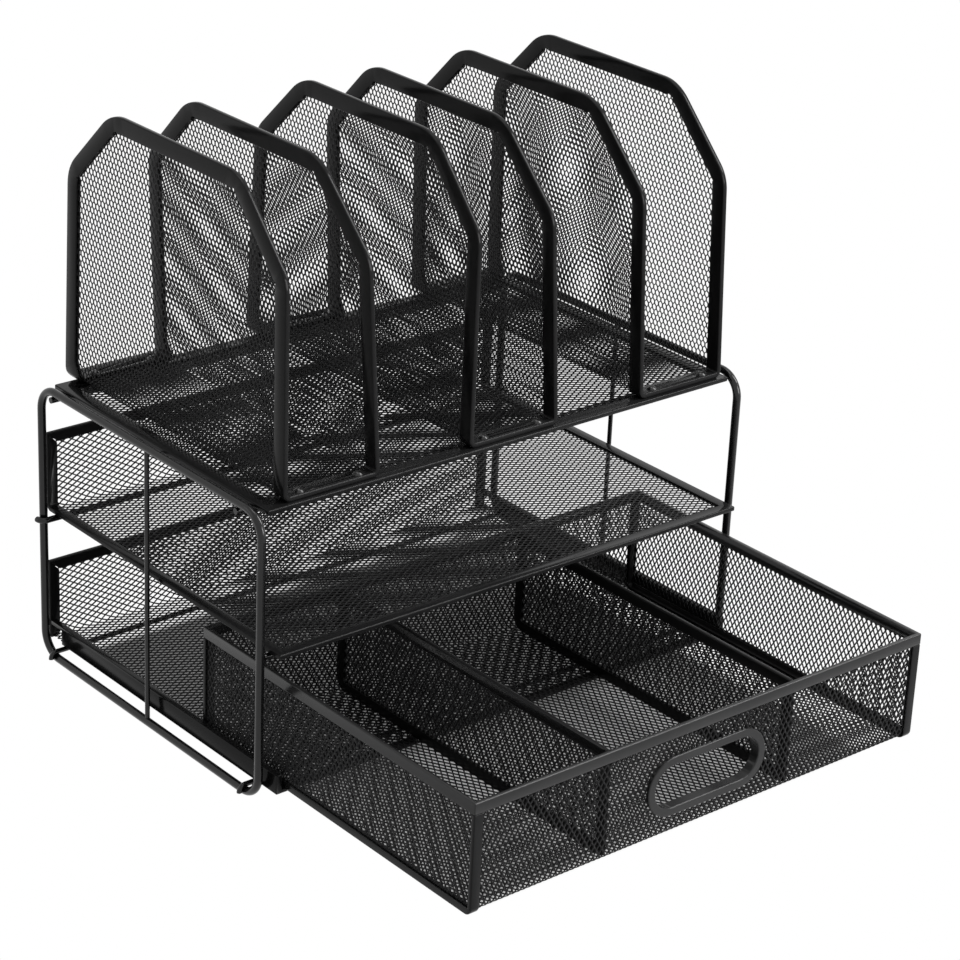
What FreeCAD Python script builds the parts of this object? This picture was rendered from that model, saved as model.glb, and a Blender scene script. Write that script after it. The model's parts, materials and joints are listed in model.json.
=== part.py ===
# Desk sorter of coated steel mesh: two wire side frames carry a deck with six upright
# dividers, a middle tray and a bottom tray, and a drawer slides in the bottom tray.
# X is the width, -Y the front, Z up. The origin lies on the desk, midway between the
# side frames and midway between their front and rear uprights. All lengths are in mm.
import FreeCAD, Part, Sketcher
import math
import os
from FreeCAD import Placement, Rotation, Vector

os.makedirs("parts", exist_ok=True)
doc = FreeCAD.newDocument("DeskSorter")
sheet = doc.addObject("Spreadsheet::Sheet", "Sizes")

driving_sizes = (
    # side frames
    ("side_span", 340.0, "between the planes of the two side frames"),
    ("frame_depth", 211.7, "between front and rear uprights"),
    ("frame_height", 172.1, "over the side frame"),
    ("wire_dia", 4.8, "side frame wire"),
    ("wire_bend", 14.0, "corner bend of the side frame, centre line"),
    ("brace_dia", 2.8, "thin upright at mid depth"),
    # cross wires
    ("deck_wire_dia", 3.6, "cross wires under the deck"),
    ("deck_wire_front_setback", 20.35, "front deck wire behind the front uprights"),
    ("deck_wire_rear_setback", 13.35, "rear deck wire in front of the rear uprights"),
    ("shelf_wire_dia", 3.6, "cross wires under the middle tray"),
    ("base_wire_dia", 3.0, "cross wires on the bottom rails"),
    ("base_wire_setback", 11.85, "base wires inside the uprights"),
    # expanded mesh and the folded strips round its edges
    ("mesh_thick", 0.5, "mesh panel"),
    ("mesh_slack", 0.05, "mesh panel to each side of its slot"),
    ("strip_thick", 2.8, "folded strip over both flanges"),
    ("strip_web", 1.5, "closed outer edge of a folded strip"),
    ("sheet_bend", 3.0, "bend of a mesh panel, centre line"),
    # deck
    ("deck_side_gap", 3.55, "deck to the top bar beside it"),
    ("deck_front_setback", 2.75, "front edge of the deck behind the front uprights"),
    ("deck_rear_setback", 4.35, "rear edge of the deck in front of the rear uprights"),
    ("deck_strip", 9.0, "width of the deck's strips"),
    # sorter units
    ("unit_width", 60.6, "between the two walls of a sorter unit"),
    ("unit_side_margin", 7.45, "outer unit to the side of the deck, with the units centred"),
    ("unit_shift", 4.2, "middle unit from the middle of the deck"),
    ("unit_height", 164.5, "sorter unit over the deck"),
    ("unit_front_setback", 2.5, "front edge of a wall behind the deck's front edge"),
    ("unit_foot_bend", 7.3, "rounded foot of the rear edge, which stands out behind the deck"),
    ("unit_foot_rise", 12.0, "height where the opening draws in to the rear strip"),
    ("unit_front_slope", 7.3, "front edge leans back by this from foot to knee"),
    ("unit_rear_slope", 1.7, "rear edge leans back by this from foot to knee"),
    ("unit_front_cut", 44.5, "front corner cut, along Y and Z"),
    ("unit_rear_cut", 41.2, "rear corner cut, along Y and Z"),
    ("unit_crown_bend", 28.0, "rounding at the top of a cut corner"),
    ("unit_knee_bend", 22.0, "rounding at the foot of a cut corner"),
    ("unit_strip", 8.0, "width of the strip round a unit"),
    ("unit_strip_thick", 3.0, "thickness of the strip round a unit"),
    # screws that hold the units down
    ("screw_inset", 11.0, "screw from the wall beside it"),
    ("screw_dia", 2.6, "screw shank"),
    ("screw_head_dia", 6.0, "domed head"),
    ("screw_head_rise", 1.8, "height of the domed head"),
    ("screw_hole_slack", 0.1, "shank to its hole, all round"),
    ("screw_end", 0.9, "shank below the nut"),
    ("nut_dia", 4.6, "nut across its corners"),
    ("nut_thick", 1.9, "nut"),
    # middle and bottom trays
    ("tray_side_gap", 2.6, "tray to the side frame beside it"),
    ("tray_strip", 6.5, "width of the trays' strips"),
    ("shelf_overhang", 10.75, "front edge of the middle tray before the front uprights"),
    ("drawer_headroom", 10.1, "drawer to the cross wires above it"),
    ("shelf_rise", 48.5, "back panel of the middle tray"),
    ("base_overhang", 9.45, "front edge of the bottom tray before the front uprights"),
    ("base_strip_thick", 2.0, "front strip of the bottom tray"),
    ("base_rise", 49.4, "back panel of the bottom tray"),
    ("band_thick", 4.0, "side band of the bottom tray"),
    ("band_height", 11.5, "side band of the bottom tray"),
    ("band_hem", 2.8, "rolled top edge of the side band"),
    ("band_stop", 14.0, "length at the rear where only the rolled edge goes on"),
    ("seam_gap", 0.6, "open seam of a mitred corner"),
    ("seam_start", 2.5, "closed stretch of a mitre at its outer corner"),
    # drawer
    ("drawer_side_gap", 1.0, "drawer to the side band beside it"),
    ("drawer_nose", 10.4, "closed drawer in front of the bottom tray"),
    ("drawer_back_gap", 0.75, "closed drawer to the back of the bottom tray"),
    ("drawer_height", 65.6, "drawer"),
    ("drawer_pull", 146.7, "how far the drawer is pulled out at rest"),
    ("drawer_gap", 0.3, "drawer over the bottom tray's strip"),
    ("rim_thick", 2.6, "drawer rim over both flanges"),
    ("rim_height", 6.8, "drawer rim"),
    ("rim_web", 1.2, "closed top of the drawer rim"),
    ("post_leg", 6.0, "leg of a corner post"),
    ("post_foot_bend", 5.0, "rounded foot of a corner post"),
    ("edge_leg", 4.6, "leg of the strip along a lower side edge"),
    ("divider_strip", 6.5, "strip round a drawer divider"),
    ("divider_thick", 2.6, "strip round a drawer divider"),
    ("divider_left_share", 0.2140625, "left divider from the middle, as a share of the drawer's width"),
    ("divider_right_share", 0.1978125, "right divider from the middle, as a share of the drawer's width"),
    ("divider_drop", 1.2, "top of a divider below the rim"),
    ("divider_rear_bend", 8.0, "lower rear corner of a divider"),
    ("divider_bend", 3.5, "other corners of a divider"),
    # handle
    ("handle_width", 84.4, "handle ring over its flange"),
    ("handle_height", 35.4, "handle ring over its flange"),
    ("handle_flange", 4.9, "flange on the face of the mesh"),
    ("handle_flange_thick", 1.6, "flange"),
    ("handle_collar", 1.0, "wall of the collar through the mesh"),
    ("handle_collar_depth", 4.2, "collar with its flange"),
    ("handle_rise", 30.6, "handle centre above the drawer's underside"),
    ("handle_edge", 0.7, "rounded edge of the flange"),
    # cutting
    ("overrun", 2.0, "how far a cut runs past what it cuts"),
)
# Sizes that follow from the ones above
tied_sizes = (
    ("deck_wire_front", "frame_depth / 2 - deck_wire_front_setback", "front deck wire from the middle"),
    ("deck_wire_rear", "frame_depth / 2 - deck_wire_rear_setback", "rear deck wire from the middle"),
    ("base_wire_reach", "frame_depth / 2 - base_wire_setback", "base wires from the middle"),
    ("deck_width", "side_span - wire_dia - 2 * deck_side_gap", "deck over its strips"),
    ("deck_front", "frame_depth / 2 - deck_front_setback", "front edge of the deck from the middle"),
    ("deck_rear", "frame_depth / 2 - deck_rear_setback", "rear edge of the deck from the middle"),
    ("unit_pitch", "(deck_width - unit_width - unit_strip_thick) / 2 - unit_side_margin",
     "from one sorter unit to the next"),
    ("unit_front_foot", "deck_front - unit_front_setback", "front edge of a wall at the deck"),
    ("unit_rear_foot", "deck_rear + unit_foot_bend", "rear edge of a wall above its rounded foot"),
    ("unit_front_knee", "unit_front_foot - unit_front_slope", "front edge where the corner is cut off"),
    ("unit_rear_knee", "unit_rear_foot + unit_rear_slope", "rear edge where the corner is cut off"),
    ("tray_width", "side_span - wire_dia - 2 * tray_side_gap", "trays over their strips"),
    ("base_front", "frame_depth / 2 + base_overhang", "front edge of the bottom tray"),
    ("shelf_front", "frame_depth / 2 + shelf_overhang", "front edge of the middle tray"),
    ("drawer_foot", "wire_dia + base_wire_dia + base_strip_thick + drawer_gap", "underside of the drawer"),
    ("shelf_height", "drawer_foot + drawer_height + drawer_headroom + shelf_wire_dia",
     "underside of the middle tray"),
    ("drawer_width", "tray_width - 2 * band_thick - 2 * drawer_side_gap", "drawer over its rim"),
    ("drawer_length", "(frame_depth + wire_dia) / 2 - drawer_back_gap + base_front + drawer_nose",
     "drawer over its rim"),
    ("drawer_front", "base_front + drawer_nose + drawer_pull", "front of the drawer from the middle"),
    ("divider_left", "drawer_width * divider_left_share", "left divider from the middle"),
    ("divider_right", "drawer_width * divider_right_share", "right divider from the middle"),
)
unit_count = 3
# How far the left and right wall of each unit lean towards +X at the top
wall_lean_shares = ((0.100, -0.073), (0.140, -0.064), (-0.023, 0.0))

rows = [(alias, str(value), note) for alias, value, note in driving_sizes]
rows += [(alias, "=" + formula, note) for alias, formula, note in tied_sizes]
for row, (alias, content, note) in enumerate(rows, start=1):
    sheet.set("A%d" % row, alias)
    sheet.set("B%d" % row, content)
    sheet.set("C%d" % row, note)
    sheet.setAlias("B%d" % row, alias)
doc.recompute()


def size(alias):
    return float(sheet.get(alias))


def number(formula):
    return float(sheet.evalExpression(formula))


nodes = []


def keep(thing, name):
    """Name a sub-part and put it on the list of pieces to be written."""
    thing.Label = name
    nodes.append(thing)
    return thing


def keep_shape(shape, name):
    """Make a sub-part from a shape built of sizes read from the sheet."""
    thing = doc.addObject("Part::Feature", name)
    thing.Shape = shape
    thing.Placement = Placement()
    return keep(thing, name)


def new_body(name):
    return doc.addObject("PartDesign::Body", name)


def sketch_on(body, role, name, level="0"):
    """Open a sketch on one of the body's origin planes, moved along its normal."""
    plane = [item for item in body.Origin.OriginFeatures if item.Role == role][0]
    sketch = body.newObject("Sketcher::SketchObject", name)
    sketch.AttachmentSupport = [(plane, "")]
    sketch.MapMode = "FlatFace"
    sketch.setExpression("AttachmentOffset.Base.z", level)
    return sketch


def bind(sketch, kind, where, formula):
    """Add one dimension and tie it to the sheet."""
    index = sketch.addConstraint(Sketcher.Constraint(kind, *where, number(formula)))
    sketch.setExpression("Constraints[%d]" % index, formula)


def bind_point(sketch, item, end, across, up):
    """Tie one point of a sketch item to a place measured from the sketch's origin."""
    bind(sketch, "DistanceX", (-1, 1, item, end), across)
    bind(sketch, "DistanceY", (-1, 1, item, end), up)


def add_polygon(sketch, corners):
    """Closed outline of straight lines with every corner dimensioned."""
    spots = [Vector(number(across), number(up), 0) for across, up in corners]
    first = sketch.GeometryCount
    for index, spot in enumerate(spots):
        sketch.addGeometry(Part.LineSegment(spot, spots[(index + 1) % len(spots)]))
    for index, (across, up) in enumerate(corners):
        after = first + (index + 1) % len(corners)
        sketch.addConstraint(Sketcher.Constraint("Coincident", first + index, 2, after, 1))
        bind_point(sketch, first + index, 1, across, up)


def add_circle(sketch, across, up, radius):
    centre = Vector(number(across), number(up), 0)
    item = sketch.addGeometry(Part.Circle(centre, Vector(0, 0, 1), number(radius)))
    bind_point(sketch, item, 3, across, up)
    bind(sketch, "Radius", (item,), radius)


def sweep_wire(body, spine, edge_count, profile):
    pipe = body.newObject("PartDesign::AdditivePipe", "Wire")
    pipe.Profile = profile
    pipe.Spine = (spine, ["Edge%d" % (index + 1) for index in range(edge_count)])
    return pipe


def rectangle(left, right, low, high):
    return ((left, low), (right, low), (right, high), (left, high))


def pad_sketch(body, sketch, length, reverse=False):
    doc.recompute()
    pad = body.newObject("PartDesign::Pad", "Pad")
    pad.Profile = sketch
    pad.setExpression("Length", length)
    pad.Reversed = reverse
    return pad


def plate(name, role, level, outlines, thickness):
    """Flat plate with straight outlines, drawn on one plane and padded along its normal."""
    body = new_body(name)
    sketch = sketch_on(body, role, "Outline", level)
    for corners in outlines:
        add_polygon(sketch, corners)
    pad_sketch(body, sketch, thickness)
    return keep(body, name)


def cut_sketch(body, sketch, depth):
    """Pocket along the sketch's normal, which must take something away."""
    doc.recompute()
    before = body.Shape.Volume
    pocket = body.newObject("PartDesign::Pocket", "Cut")
    pocket.Profile = sketch
    pocket.Reversed = True
    pocket.setExpression("Length", depth)
    doc.recompute()
    if body.Shape.Volume >= before:
        raise RuntimeError("a cut in %s takes nothing away" % body.Label)


def cut_outlines(body, role, level, outlines, depth):
    sketch = sketch_on(body, role, "CutOutline", level)
    for corners in outlines:
        add_polygon(sketch, corners)
    cut_sketch(body, sketch, depth)


def side_frame(name, middle):
    """Closed loop of round wire with four rounded corners, standing on its lower rail."""
    body = new_body(name)
    spine = sketch_on(body, "YZ_Plane", "Loop")
    reach = number("Sizes.frame_depth / 2")
    low = number("Sizes.wire_dia / 2")
    high = number("Sizes.frame_height - Sizes.wire_dia / 2")
    bend = size("wire_bend")
    corners = (
        Vector(-reach, low, 0),
        Vector(reach, low, 0),
        Vector(reach, high, 0),
        Vector(-reach, high, 0),
    )
    for index, corner in enumerate(corners):
        after = corners[(index + 1) % len(corners)]
        before = corners[index - 1]
        along = (after - corner).normalize()
        back = (before - corner).normalize()
        centre = corner + (along + back) * bend
        spine.addGeometry(Part.LineSegment(corner + along * bend, after - along * bend))
        quarter = math.pi / 2
        turn = math.pi + index * quarter
        corner_circle = Part.Circle(centre, Vector(0, 0, 1), bend)
        spine.addGeometry(Part.ArcOfCircle(corner_circle, turn, turn + quarter))
    for index in range(len(corners)):
        line = 2 * index
        arc = line + 1
        next_arc = (line + 3) % (2 * len(corners))
        spine.addConstraint(Sketcher.Constraint("Tangent", arc, 2, line, 1))
        spine.addConstraint(Sketcher.Constraint("Tangent", line, 2, next_arc, 1))
        bind(spine, "Radius", (arc,), "Sizes.wire_bend")
        level = "Horizontal" if index % 2 == 0 else "Vertical"
        spine.addConstraint(Sketcher.Constraint(level, line))
    bind(spine, "DistanceY", (-1, 1, 0, 1), "Sizes.wire_dia / 2")
    bind(spine, "DistanceX", (-1, 1, 2, 1), "Sizes.frame_depth / 2")
    bind(spine, "DistanceY", (-1, 1, 4, 1), "Sizes.frame_height - Sizes.wire_dia / 2")
    bind(spine, "DistanceX", (-1, 1, 6, 1), "-Sizes.frame_depth / 2")
    profile = sketch_on(body, "XZ_Plane", "Section", "Sizes.frame_depth / 2 - Sizes.wire_bend")
    add_circle(profile, "0", "Sizes.wire_dia / 2", "Sizes.wire_dia / 2")
    doc.recompute()
    sweep_wire(body, spine, 2 * len(corners), profile)
    body.setExpression("Placement.Base.x", middle)
    return keep(body, name)


def hooked_wire(name, plane, section_plane, section_level, centre_up, radius, side, dia, moved):
    """Straight cross wire whose ends bend a quarter turn round the side frames."""
    body = new_body(name)
    spine = sketch_on(body, plane, "Run")
    half_span = "Sizes.side_span / 2"
    turn = number(radius)
    up = number(centre_up)
    reach = number(half_span)
    quarter = math.pi / 2
    left_start = quarter if side > 0 else 2 * quarter
    right_start = 0 if side > 0 else 3 * quarter
    left_circle = Part.Circle(Vector(-reach, up, 0), Vector(0, 0, 1), turn)
    right_circle = Part.Circle(Vector(reach, up, 0), Vector(0, 0, 1), turn)
    run_up = up + side * turn
    left = spine.addGeometry(Part.ArcOfCircle(left_circle, left_start, left_start + quarter))
    run = spine.addGeometry(Part.LineSegment(Vector(-reach, run_up, 0), Vector(reach, run_up, 0)))
    right = spine.addGeometry(Part.ArcOfCircle(right_circle, right_start, right_start + quarter))
    left_joint, left_tip = (1, 2) if side > 0 else (2, 1)
    right_joint, right_tip = (2, 1) if side > 0 else (1, 2)
    spine.addConstraint(Sketcher.Constraint("Tangent", left, left_joint, run, 1))
    spine.addConstraint(Sketcher.Constraint("Tangent", run, 2, right, right_joint))
    spine.addConstraint(Sketcher.Constraint("Horizontal", left, left_tip, left, 3))
    spine.addConstraint(Sketcher.Constraint("Horizontal", right, right_tip, right, 3))
    bind(spine, "Radius", (left,), radius)
    bind(spine, "Radius", (right,), radius)
    bind_point(spine, left, 3, "-" + half_span, centre_up)
    bind_point(spine, right, 3, half_span, centre_up)
    profile = sketch_on(body, section_plane, "Section", section_level)
    add_circle(profile, "-%s - (%s)" % (half_span, radius), "0", "%s / 2" % dia)
    doc.recompute()
    sweep_wire(body, spine, 3, profile)
    axis, formula = moved
    body.setExpression("Placement.Base.%s" % axis, formula)
    return keep(body, name)


def straight_wire(name, dia, half_length, along_y, along_z):
    """Straight cross wire between or under the side frames, along X."""
    rod = doc.addObject("Part::Cylinder", name)
    rod.setExpression("Radius", "%s / 2" % dia)
    rod.setExpression("Height", "2 * (%s)" % half_length)
    rod.Placement = Placement(Vector(0, 0, 0), Rotation(Vector(0, 1, 0), 90))
    rod.setExpression("Placement.Base.x", "-(%s)" % half_length)
    rod.setExpression("Placement.Base.y", along_y)
    rod.setExpression("Placement.Base.z", along_z)
    return keep(rod, name)


def brace(name, middle):
    """Thin upright from the lower rail to the top bar."""
    rod = doc.addObject("Part::Cylinder", name)
    rod.setExpression("Radius", "Sizes.brace_dia / 2")
    rod.setExpression("Height", "Sizes.frame_height - 2 * Sizes.wire_dia")
    rod.setExpression("Placement.Base.x", middle)
    rod.setExpression("Placement.Base.z", "Sizes.wire_dia")
    return keep(rod, name)


side_frame("left_side_frame", "-Sizes.side_span / 2")
side_frame("right_side_frame", "Sizes.side_span / 2")
brace("left_brace_wire", "-Sizes.side_span / 2")
brace("right_brace_wire", "Sizes.side_span / 2")

deck_wire_level = "Sizes.frame_height - Sizes.wire_dia - Sizes.deck_wire_dia / 2"
deck_wire_half = "Sizes.side_span / 2 + Sizes.wire_dia / 2"
straight_wire("front_deck_cross_wire", "Sizes.deck_wire_dia", deck_wire_half,
              "-Sizes.deck_wire_front", deck_wire_level)
straight_wire("rear_deck_cross_wire", "Sizes.deck_wire_dia", deck_wire_half,
              "Sizes.deck_wire_rear", deck_wire_level)
shelf_wire_level = "Sizes.shelf_height - Sizes.shelf_wire_dia / 2"
straight_wire("front_middle_cross_wire", "Sizes.shelf_wire_dia",
              "Sizes.side_span / 2 - Sizes.wire_dia / 2", "-Sizes.frame_depth / 2",
              shelf_wire_level)
hooked_wire("rear_middle_cross_wire", "XY_Plane", "XZ_Plane", "-Sizes.frame_depth / 2",
            "Sizes.frame_depth / 2", "(Sizes.wire_dia + Sizes.shelf_wire_dia) / 2", -1,
            "Sizes.shelf_wire_dia", ("z", shelf_wire_level))
for end_name, end_place in (("front", "-Sizes.base_wire_reach"), ("rear", "Sizes.base_wire_reach")):
    hooked_wire(end_name + "_base_cross_wire", "XZ_Plane", "XY_Plane", "Sizes.wire_dia / 2",
                "Sizes.wire_dia / 2", "(Sizes.wire_dia + Sizes.base_wire_dia) / 2", 1,
                "Sizes.base_wire_dia", ("y", end_place))


def inset(corners, distances):
    """Move each side of a closed outline inwards by its own distance.

    The corners run counter-clockwise, and side i goes from corner i to the next.
    """
    count = len(corners)
    sides = []
    for index in range(count):
        x1, y1 = corners[index]
        x2, y2 = corners[(index + 1) % count]
        length = math.hypot(x2 - x1, y2 - y1)
        along = ((x2 - x1) / length, (y2 - y1) / length)
        moved = distances[index]
        sides.append(((x1 - along[1] * moved, y1 + along[0] * moved), along))
    moved_corners = []
    for index in range(count):
        (px, py), (ax, ay) = sides[index - 1]
        (qx, qy), (bx, by) = sides[index]
        reach = ((qx - px) * by - (qy - py) * bx) / (ax * by - ay * bx)
        moved_corners.append((px + ax * reach, py + ay * reach))
    return moved_corners


def ribbon(path, half, bend):
    """Outline of a bent sheet seen edge-on, with its corner radii.

    The path is the sheet's centre line and turns left at every inner point.
    """
    sides = []
    for (x1, y1), (x2, y2) in zip(path, path[1:]):
        length = math.hypot(x2 - x1, y2 - y1)
        sides.append(((x1, y1), ((x2 - x1) / length, (y2 - y1) / length)))
    outline = []
    radii = []
    for hand in (-1, 1):
        row = []
        for index, (x, y) in enumerate(path):
            before = sides[max(index - 1, 0)][1]
            after = sides[min(index, len(sides) - 1)][1]
            normal_x = -(before[1] + after[1])
            normal_y = before[0] + after[0]
            scale = 2 * hand * half / (normal_x ** 2 + normal_y ** 2)
            inner = 0 < index < len(path) - 1
            row.append(((x + normal_x * scale, y + normal_y * scale), bend - hand * half if inner else 0))
        if hand > 0:
            row.reverse()
        outline += [spot for spot, radius in row]
        radii += [radius for spot, radius in row]
    return outline, radii


def rounded_face(corners, radii, place):
    """Flat face with rounded corners; place turns outline pairs into points."""
    spots = [place(*corner) for corner in corners]
    count = len(spots)
    ends = []
    for index, spot in enumerate(spots):
        if radii[index] <= 0:
            ends.append((spot, None, spot))
            continue
        to_before = (spots[index - 1] - spot).normalize()
        to_after = (spots[(index + 1) % count] - spot).normalize()
        half = to_before.getAngle(to_after) / 2
        reach = radii[index] / math.tan(half)
        middle = (to_before + to_after).normalize() * (radii[index] / math.sin(half) - radii[index])
        ends.append((spot + to_before * reach, spot + middle, spot + to_after * reach))
    edges = []
    for index, (start, middle, end) in enumerate(ends):
        if middle is not None:
            edges.append(Part.Arc(start, middle, end).toShape())
        following = ends[(index + 1) % count][0]
        if end.distanceToPoint(following) > Part.Precision.confusion():
            edges.append(Part.makeLine(end, following))
    return Part.Face(Part.Wire(edges))


def prism_along_x(outline, radii, start, end):
    face = rounded_face(outline, radii, lambda across, up: Vector(start, across, up))
    return face.extrude(Vector(end - start, 0, 0))


def prism_along_y(outline, radii, start, end):
    face = rounded_face(outline, radii, lambda across, up: Vector(across, start, up))
    return face.extrude(Vector(0, end - start, 0))


def slab(x_range, y_range, z_range):
    low = Vector(x_range[0], y_range[0], z_range[0])
    return Part.makeBox(x_range[1] - low.x, y_range[1] - low.y, z_range[1] - low.z, low)


over = size("overrun")
mesh_half = size("mesh_thick") / 2
slot_half = mesh_half + size("mesh_slack")
strip_half = size("strip_thick") / 2
bend = size("sheet_bend")
web = size("strip_web")
frame_rear = size("frame_depth") / 2 + size("wire_dia") / 2

# Deck: a flat mesh panel in a folded strip, resting on the cross wires between the top bars
deck_low = size("frame_height") - size("wire_dia")
deck_top = deck_low + size("strip_thick")

# Sorter units stand on the deck, and their outline is the same from the side
unit_top = deck_top + size("unit_height")
unit_half_thick = size("unit_strip_thick") / 2
unit_outline = [
    (-size("unit_front_foot"), deck_top),
    (size("unit_rear_foot"), deck_top),
    (size("unit_rear_knee"), unit_top - size("unit_rear_cut")),
    (size("unit_rear_knee") - size("unit_rear_cut"), unit_top),
    (-size("unit_front_knee") + size("unit_front_cut"), unit_top),
    (-size("unit_front_knee"), unit_top - size("unit_front_cut")),
]
unit_radii = [0, size("unit_foot_bend"), size("unit_knee_bend"), size("unit_crown_bend"),
              size("unit_crown_bend"), size("unit_knee_bend")]
unit_bottom_strip_rear = size("deck_rear")


def unit_prism(inward, reach):
    """The side outline drawn in by a distance, open downwards, as a block across the unit."""
    radii = [max(radius - inward, 0) for radius in unit_radii]
    if inward == 0:
        return prism_along_x(unit_outline, unit_radii, *reach)
    below = -(over + size("unit_strip_thick"))
    corners = inset(unit_outline, [below] + [inward] * (len(unit_outline) - 1))
    rear_low = corners[1]
    drawn_in = unit_bottom_strip_rear - inward
    strip_top = deck_top + size("unit_strip_thick")
    corners[1:2] = [
        (drawn_in, rear_low[1]),
        (drawn_in, strip_top),
        (rear_low[0], deck_top + size("unit_foot_rise")),
    ]
    radii[1:2] = [0, 0, 0]
    return prism_along_x(corners, radii, *reach)


screw_rows = (
    "-Sizes.unit_front_foot + Sizes.unit_strip / 2",
    "Sizes.deck_rear - Sizes.unit_strip / 2",
)
unit_middles = []
screw_columns = []
for index in range(unit_count):
    steps = index - (unit_count - 1) / 2
    unit_middle = "Sizes.unit_shift + %g * Sizes.unit_pitch" % steps
    unit_middles.append(number(unit_middle))
    for hand in (-1, 1):
        column = " + %g * (Sizes.unit_width / 2 - Sizes.screw_inset)" % hand
        screw_columns.append(unit_middle + column)
screw_places = []
for column in screw_columns:
    for row in screw_rows:
        screw_places.append(Vector(number(column), number(row), 0))


def drill_unit(shape, low, high):
    """Cut the screw holes of one sorter unit."""
    radius = size("screw_dia") / 2 + size("screw_hole_slack")
    drills = []
    for place in screw_places:
        if shape.BoundBox.XMin < place.x < shape.BoundBox.XMax:
            foot = Vector(place.x, place.y, low - over)
            drills.append(Part.makeCylinder(radius, high - low + 2 * over, foot))
    return shape.cut(Part.makeCompound(drills))


def drill_plate(body, low, thickness):
    """Cut all screw holes through a sketched plate."""
    sketch = sketch_on(body, "XY_Plane", "Holes", low)
    for across in screw_columns:
        for along in screw_rows:
            add_circle(sketch, across, along, "Sizes.screw_dia / 2 + Sizes.screw_hole_slack")
    cut_sketch(body, sketch, thickness)


def build_deck():
    low = "Sizes.frame_height - Sizes.wire_dia"
    half = "Sizes.deck_width / 2"
    strip = "Sizes.deck_strip"
    web_text = "Sizes.strip_web"
    outer = rectangle("-" + half, half, "-Sizes.deck_front", "Sizes.deck_rear")
    inner = rectangle("-%s + %s" % (half, strip), "%s - %s" % (half, strip),
                      "-Sizes.deck_front + " + strip, "Sizes.deck_rear - " + strip)
    held = rectangle("-%s + %s" % (half, web_text), "%s - %s" % (half, web_text),
                     "-Sizes.deck_front + " + web_text, "Sizes.deck_rear - " + web_text)
    middle = low + " + Sizes.strip_thick / 2"
    slot_thick = "Sizes.mesh_thick + 2 * Sizes.mesh_slack"
    frame = plate("deck_frame", "XY_Plane", low, (outer, inner), "Sizes.strip_thick")
    cut_outlines(frame, "XY_Plane", middle + " - Sizes.mesh_thick / 2 - Sizes.mesh_slack",
                 (held,), slot_thick)
    drill_plate(frame, low, "Sizes.strip_thick")
    panel_low = middle + " - Sizes.mesh_thick / 2"
    panel = plate("deck_mesh", "XY_Plane", panel_low, (held,), "Sizes.mesh_thick")
    drill_plate(panel, panel_low, "Sizes.mesh_thick")


def build_unit(number_of_unit, middle, leans):
    """One bent mesh sheet with two upright walls, edged all round by a folded strip."""
    width = size("unit_width")
    base = deck_top + unit_half_thick
    past_top = unit_top + over
    climb = (past_top - base) / size("unit_height")
    left_foot = middle - width / 2
    right_foot = middle + width / 2
    path = [
        (left_foot + leans[0] * width * climb, past_top),
        (left_foot, base),
        (right_foot, base),
        (right_foot + leans[1] * width * climb, past_top),
    ]
    depth = (-size("unit_front_foot") - over, size("unit_rear_knee") + over)
    reach = (middle - width, middle + width)
    whole = prism_along_y(*ribbon(path, unit_half_thick, bend), *depth)
    slot = prism_along_y(*ribbon(path, slot_half, bend), *depth)
    panel = prism_along_y(*ribbon(path, mesh_half, bend), *depth)
    strip = whole.common(unit_prism(0, reach)).cut(unit_prism(size("unit_strip"), reach))
    strip = strip.cut(slot.common(unit_prism(web, reach)))
    panel = panel.common(unit_prism(web, reach))
    top_of_strip = deck_top + size("unit_strip_thick")
    strip = drill_unit(strip, deck_top, top_of_strip)
    panel = drill_unit(panel, deck_top, top_of_strip)
    keep_shape(strip, "sorter_strip_%d" % number_of_unit)
    keep_shape(panel, "sorter_mesh_%d" % number_of_unit)


build_deck()
for index, middle in enumerate(unit_middles):
    build_unit(index + 1, middle, wall_lean_shares[index])


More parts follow.
